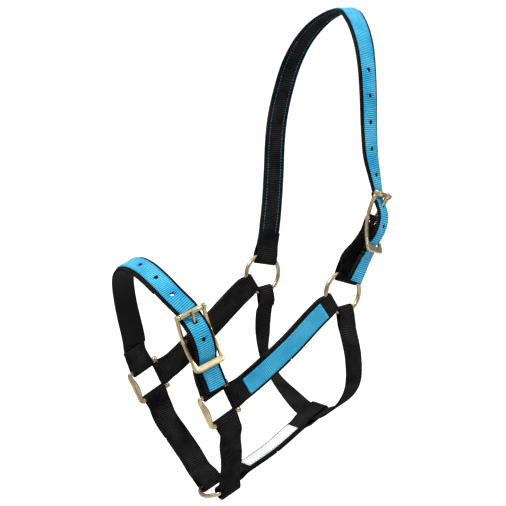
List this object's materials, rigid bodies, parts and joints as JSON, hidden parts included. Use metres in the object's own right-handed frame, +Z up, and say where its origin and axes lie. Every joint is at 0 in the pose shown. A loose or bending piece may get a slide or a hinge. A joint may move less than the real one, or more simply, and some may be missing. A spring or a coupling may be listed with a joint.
{
  "type": "head halter",
  "caption": "Adjustable webbing horse halter with buckled crown and noseband, coloured overlay, cheek, chin, jaw and throat straps, round and square metal rings.",
  "frame": {"origin": "middle of the crown strap's underside at the poll, the highest point of the inside of the crown", "axes": "+Z up, -Y towards the horse's nose, +X towards the horse's left (near) side, where both buckles are"},
  "size_m": [0.1977, 0.2692, 0.4858],
  "materials": {
    "webbing_black": "ribbed woven nylon",
    "webbing_blue": "ribbed woven nylon overlay",
    "lining_black": "smooth felted padding",
    "brass": "satin, pale",
    "label_white": "plain woven satin, blank"
  },
  "bodies": {
    "crown": {"crown_strap": "webbing_black", "crown_overlay": "webbing_blue", "crown_chape": "webbing_black", "crown_buckle_frame": "brass"},
    "crown_roller": {"crown_buckle_roller": "brass"},
    "crown_tongue": {"crown_buckle_tongue": "brass"},
    "near_ring": {"near_round_ring": "brass"},
    "far_ring": {"far_round_ring": "brass"},
    "cradle": {"near_cheek_strap": "webbing_black", "near_cheek_overlay": "webbing_blue", "far_cheek_strap": "webbing_black", "far_cheek_overlay": "webbing_blue", "noseband_strap": "webbing_black", "noseband_overlay": "webbing_blue", "noseband_lining": "lining_black", "nose_chape": "webbing_black", "nose_buckle_frame": "brass", "near_square_ring": "brass", "far_square_ring": "brass", "near_chin_strap": "webbing_black", "far_chin_strap": "webbing_black", "throat_latch": "webbing_black", "jaw_strap": "webbing_black", "care_label": "label_white"},
    "nose_roller": {"nose_buckle_roller": "brass"},
    "nose_tongue": {"nose_buckle_tongue": "brass"},
    "chin_ring": {"chin_ring": "brass"}
  },
  "joints": [
    {"name": "cradle_swing", "type": "hinge", "parent": "crown", "child": "cradle", "pos_m": [0, -0.052, -0.274], "axis": [-1, 0, 0], "range_deg": [0, 20]},
    {"name": "near_ring_turn", "type": "hinge", "parent": "crown", "child": "near_ring", "pos_m": [0.074, -0.052, -0.274], "axis": [1, 0, 0], "continuous": true},
    {"name": "far_ring_turn", "type": "hinge", "parent": "crown", "child": "far_ring", "pos_m": [-0.074, -0.052, -0.274], "axis": [1, 0, 0], "continuous": true},
    {"name": "chin_ring_turn", "type": "hinge", "parent": "cradle", "child": "chin_ring", "pos_m": [0, -0.151, -0.471], "axis": [0, -0.4226, 0.9063], "continuous": true},
    {"name": "crown_roller_spin", "type": "hinge", "parent": "crown", "child": "crown_roller", "pos_m": [0.09525, -0.01943, -0.17698], "axis": [-0.5163, 0.8263, -0.225], "continuous": true},
    {"name": "crown_tongue_lift", "type": "hinge", "parent": "crown", "child": "crown_tongue", "pos_m": [0.092, -0.028, -0.201], "axis": [-0.5163, 0.8263, -0.225], "range_deg": [0, 4]},
    {"name": "nose_roller_spin", "type": "hinge", "parent": "cradle", "child": "nose_roller", "pos_m": [0.07491, -0.22626, -0.27783], "axis": [0, 0.9426, 0.3338], "continuous": true},
    {"name": "nose_tongue_lift", "type": "hinge", "parent": "cradle", "child": "nose_tongue", "pos_m": [0.072, -0.21773, -0.30191], "axis": [0, 0.9426, 0.3338], "range_deg": [0, 4]}
  ]
}
